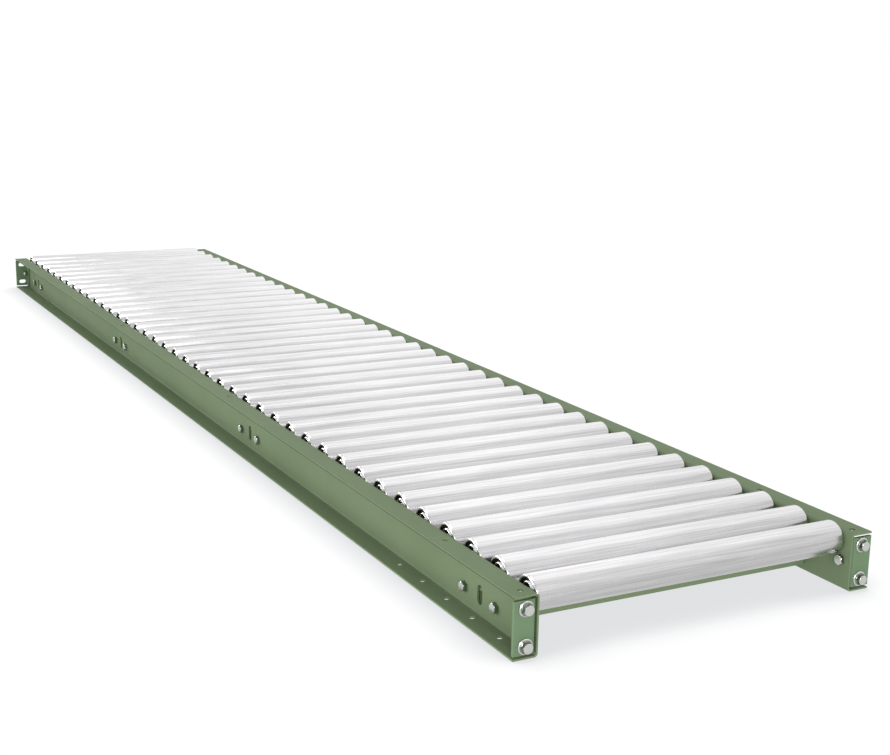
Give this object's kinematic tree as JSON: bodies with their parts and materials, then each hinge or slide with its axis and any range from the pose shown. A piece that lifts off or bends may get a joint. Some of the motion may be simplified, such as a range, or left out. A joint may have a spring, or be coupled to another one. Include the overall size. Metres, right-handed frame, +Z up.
{
  "type": "gravity roller conveyor section",
  "caption": "Straight gravity roller conveyor section: free-spinning steel rollers between two green channel side rails, with crossmembers and bolted end couplings.",
  "frame": {"origin": "centre of the overall box, on the surface that the section stands on", "axes": "+X along the section to its front end, where the coupling bolts are; +Y across it to the right rail; +Z up"},
  "size_m": [3.0574, 0.6096, 0.1],
  "materials": {
    "green_powder_coat": "satin powder coat",
    "galvanised_tube": "bright galvanised tube",
    "bright_zinc_fastener": "bright zinc plate"
  },
  "bodies": {
    "frame": {"rail_left": "green_powder_coat", "rail_right": "green_powder_coat", "crossmember_1": "green_powder_coat", "crossmember_2": "green_powder_coat", "crossmember_3": "green_powder_coat", "crossmember_4": "green_powder_coat", "coupling_front_left": "green_powder_coat", "coupling_front_right": "green_powder_coat", "coupling_back_left": "green_powder_coat", "coupling_back_right": "green_powder_coat", "coupling_bolt_left_upper": "bright_zinc_fastener", "coupling_bolt_left_lower": "bright_zinc_fastener", "coupling_bolt_right_upper": "bright_zinc_fastener", "coupling_bolt_right_lower": "bright_zinc_fastener", "web_bolt_front_left": "bright_zinc_fastener", "web_bolt_back_left": "bright_zinc_fastener", "web_bolt_front_right": "bright_zinc_fastener", "web_bolt_back_right": "bright_zinc_fastener"},
    "roller_01": {"roller_01": "galvanised_tube"},
    "roller_02": {"roller_02": "galvanised_tube"},
    "roller_03": {"roller_03": "galvanised_tube"},
    "roller_04": {"roller_04": "galvanised_tube"},
    "roller_05": {"roller_05": "galvanised_tube"},
    "roller_06": {"roller_06": "galvanised_tube"},
    "roller_07": {"roller_07": "galvanised_tube"},
    "roller_08": {"roller_08": "galvanised_tube"},
    "roller_09": {"roller_09": "galvanised_tube"},
    "roller_10": {"roller_10": "galvanised_tube"},
    "roller_11": {"roller_11": "galvanised_tube"},
    "roller_12": {"roller_12": "galvanised_tube"},
    "roller_13": {"roller_13": "galvanised_tube"},
    "roller_14": {"roller_14": "galvanised_tube"},
    "roller_15": {"roller_15": "galvanised_tube"},
    "roller_16": {"roller_16": "galvanised_tube"},
    "roller_17": {"roller_17": "galvanised_tube"},
    "roller_18": {"roller_18": "galvanised_tube"},
    "roller_19": {"roller_19": "galvanised_tube"},
    "roller_20": {"roller_20": "galvanised_tube"},
    "roller_21": {"roller_21": "galvanised_tube"},
    "roller_22": {"roller_22": "galvanised_tube"},
    "roller_23": {"roller_23": "galvanised_tube"},
    "roller_24": {"roller_24": "galvanised_tube"},
    "roller_25": {"roller_25": "galvanised_tube"},
    "roller_26": {"roller_26": "galvanised_tube"},
    "roller_27": {"roller_27": "galvanised_tube"},
    "roller_28": {"roller_28": "galvanised_tube"},
    "roller_29": {"roller_29": "galvanised_tube"},
    "roller_30": {"roller_30": "galvanised_tube"},
    "roller_31": {"roller_31": "galvanised_tube"},
    "roller_32": {"roller_32": "galvanised_tube"},
    "roller_33": {"roller_33": "galvanised_tube"},
    "roller_34": {"roller_34": "galvanised_tube"},
    "roller_35": {"roller_35": "galvanised_tube"},
    "roller_36": {"roller_36": "galvanised_tube"},
    "roller_37": {"roller_37": "galvanised_tube"},
    "roller_38": {"roller_38": "galvanised_tube"},
    "roller_39": {"roller_39": "galvanised_tube"},
    "roller_40": {"roller_40": "galvanised_tube"}
  },
  "joints": [
    {"name": "roller_01_spin", "type": "hinge", "parent": "frame", "child": "roller_01", "pos_m": [1.48125, 0, 0.0746], "axis": [0, 1, 0], "continuous": true},
    {"name": "roller_02_spin", "type": "hinge", "parent": "frame", "child": "roller_02", "pos_m": [1.40505, 0, 0.0746], "axis": [0, 1, 0], "continuous": true},
    {"name": "roller_03_spin", "type": "hinge", "parent": "frame", "child": "roller_03", "pos_m": [1.32885, 0, 0.0746], "axis": [0, 1, 0], "continuous": true},
    {"name": "roller_04_spin", "type": "hinge", "parent": "frame", "child": "roller_04", "pos_m": [1.25265, 0, 0.0746], "axis": [0, 1, 0], "continuous": true},
    {"name": "roller_05_spin", "type": "hinge", "parent": "frame", "child": "roller_05", "pos_m": [1.17645, 0, 0.0746], "axis": [0, 1, 0], "continuous": true},
    {"name": "roller_06_spin", "type": "hinge", "parent": "frame", "child": "roller_06", "pos_m": [1.10025, 0, 0.0746], "axis": [0, 1, 0], "continuous": true},
    {"name": "roller_07_spin", "type": "hinge", "parent": "frame", "child": "roller_07", "pos_m": [1.02405, 0, 0.0746], "axis": [0, 1, 0], "continuous": true},
    {"name": "roller_08_spin", "type": "hinge", "parent": "frame", "child": "roller_08", "pos_m": [0.94785, 0, 0.0746], "axis": [0, 1, 0], "continuous": true},
    {"name": "roller_09_spin", "type": "hinge", "parent": "frame", "child": "roller_09", "pos_m": [0.87165, 0, 0.0746], "axis": [0, 1, 0], "continuous": true},
    {"name": "roller_10_spin", "type": "hinge", "parent": "frame", "child": "roller_10", "pos_m": [0.79545, 0, 0.0746], "axis": [0, 1, 0], "continuous": true},
    {"name": "roller_11_spin", "type": "hinge", "parent": "frame", "child": "roller_11", "pos_m": [0.71925, 0, 0.0746], "axis": [0, 1, 0], "continuous": true},
    {"name": "roller_12_spin", "type": "hinge", "parent": "frame", "child": "roller_12", "pos_m": [0.64305, 0, 0.0746], "axis": [0, 1, 0], "continuous": true},
    {"name": "roller_13_spin", "type": "hinge", "parent": "frame", "child": "roller_13", "pos_m": [0.56685, 0, 0.0746], "axis": [0, 1, 0], "continuous": true},
    {"name": "roller_14_spin", "type": "hinge", "parent": "frame", "child": "roller_14", "pos_m": [0.49065, 0, 0.0746], "axis": [0, 1, 0], "continuous": true},
    {"name": "roller_15_spin", "type": "hinge", "parent": "frame", "child": "roller_15", "pos_m": [0.41445, 0, 0.0746], "axis": [0, 1, 0], "continuous": true},
    {"name": "roller_16_spin", "type": "hinge", "parent": "frame", "child": "roller_16", "pos_m": [0.33825, 0, 0.0746], "axis": [0, 1, 0], "continuous": true},
    {"name": "roller_17_spin", "type": "hinge", "parent": "frame", "child": "roller_17", "pos_m": [0.26205, 0, 0.0746], "axis": [0, 1, 0], "continuous": true},
    {"name": "roller_18_spin", "type": "hinge", "parent": "frame", "child": "roller_18", "pos_m": [0.18585, 0, 0.0746], "axis": [0, 1, 0], "continuous": true},
    {"name": "roller_19_spin", "type": "hinge", "parent": "frame", "child": "roller_19", "pos_m": [0.10965, 0, 0.0746], "axis": [0, 1, 0], "continuous": true},
    {"name": "roller_20_spin", "type": "hinge", "parent": "frame", "child": "roller_20", "pos_m": [0.03345, 0, 0.0746], "axis": [0, 1, 0], "continuous": true},
    {"name": "roller_21_spin", "type": "hinge", "parent": "frame", "child": "roller_21", "pos_m": [-0.04275, 0, 0.0746], "axis": [0, 1, 0], "continuous": true},
    {"name": "roller_22_spin", "type": "hinge", "parent": "frame", "child": "roller_22", "pos_m": [-0.11895, 0, 0.0746], "axis": [0, 1, 0], "continuous": true},
    {"name": "roller_23_spin", "type": "hinge", "parent": "frame", "child": "roller_23", "pos_m": [-0.19515, 0, 0.0746], "axis": [0, 1, 0], "continuous": true},
    {"name": "roller_24_spin", "type": "hinge", "parent": "frame", "child": "roller_24", "pos_m": [-0.27135, 0, 0.0746], "axis": [0, 1, 0], "continuous": true},
    {"name": "roller_25_spin", "type": "hinge", "parent": "frame", "child": "roller_25", "pos_m": [-0.34755, 0, 0.0746], "axis": [0, 1, 0], "continuous": true},
    {"name": "roller_26_spin", "type": "hinge", "parent": "frame", "child": "roller_26", "pos_m": [-0.42375, 0, 0.0746], "axis": [0, 1, 0], "continuous": true},
    {"name": "roller_27_spin", "type": "hinge", "parent": "frame", "child": "roller_27", "pos_m": [-0.49995, 0, 0.0746], "axis": [0, 1, 0], "continuous": true},
    {"name": "roller_28_spin", "type": "hinge", "parent": "frame", "child": "roller_28", "pos_m": [-0.57615, 0, 0.0746], "axis": [0, 1, 0], "continuous": true},
    {"name": "roller_29_spin", "type": "hinge", "parent": "frame", "child": "roller_29", "pos_m": [-0.65235, 0, 0.0746], "axis": [0, 1, 0], "continuous": true},
    {"name": "roller_30_spin", "type": "hinge", "parent": "frame", "child": "roller_30", "pos_m": [-0.72855, 0, 0.0746], "axis": [0, 1, 0], "continuous": true},
    {"name": "roller_31_spin", "type": "hinge", "parent": "frame", "child": "roller_31", "pos_m": [-0.80475, 0, 0.0746], "axis": [0, 1, 0], "continuous": true},
    {"name": "roller_32_spin", "type": "hinge", "parent": "frame", "child": "roller_32", "pos_m": [-0.88095, 0, 0.0746], "axis": [0, 1, 0], "continuous": true},
    {"name": "roller_33_spin", "type": "hinge", "parent": "frame", "child": "roller_33", "pos_m": [-0.95715, 0, 0.0746], "axis": [0, 1, 0], "continuous": true},
    {"name": "roller_34_spin", "type": "hinge", "parent": "frame", "child": "roller_34", "pos_m": [-1.03335, 0, 0.0746], "axis": [0, 1, 0], "continuous": true},
    {"name": "roller_35_spin", "type": "hinge", "parent": "frame", "child": "roller_35", "pos_m": [-1.10955, 0, 0.0746], "axis": [0, 1, 0], "continuous": true},
    {"name": "roller_36_spin", "type": "hinge", "parent": "frame", "child": "roller_36", "pos_m": [-1.18575, 0, 0.0746], "axis": [0, 1, 0], "continuous": true},
    {"name": "roller_37_spin", "type": "hinge", "parent": "frame", "child": "roller_37", "pos_m": [-1.26195, 0, 0.0746], "axis": [0, 1, 0], "continuous": true},
    {"name": "roller_38_spin", "type": "hinge", "parent": "frame", "child": "roller_38", "pos_m": [-1.33815, 0, 0.0746], "axis": [0, 1, 0], "continuous": true},
    {"name": "roller_39_spin", "type": "hinge", "parent": "frame", "child": "roller_39", "pos_m": [-1.41435, 0, 0.0746], "axis": [0, 1, 0], "continuous": true},
    {"name": "roller_40_spin", "type": "hinge", "parent": "frame", "child": "roller_40", "pos_m": [-1.49055, 0, 0.0746], "axis": [0, 1, 0], "continuous": true}
  ]
}
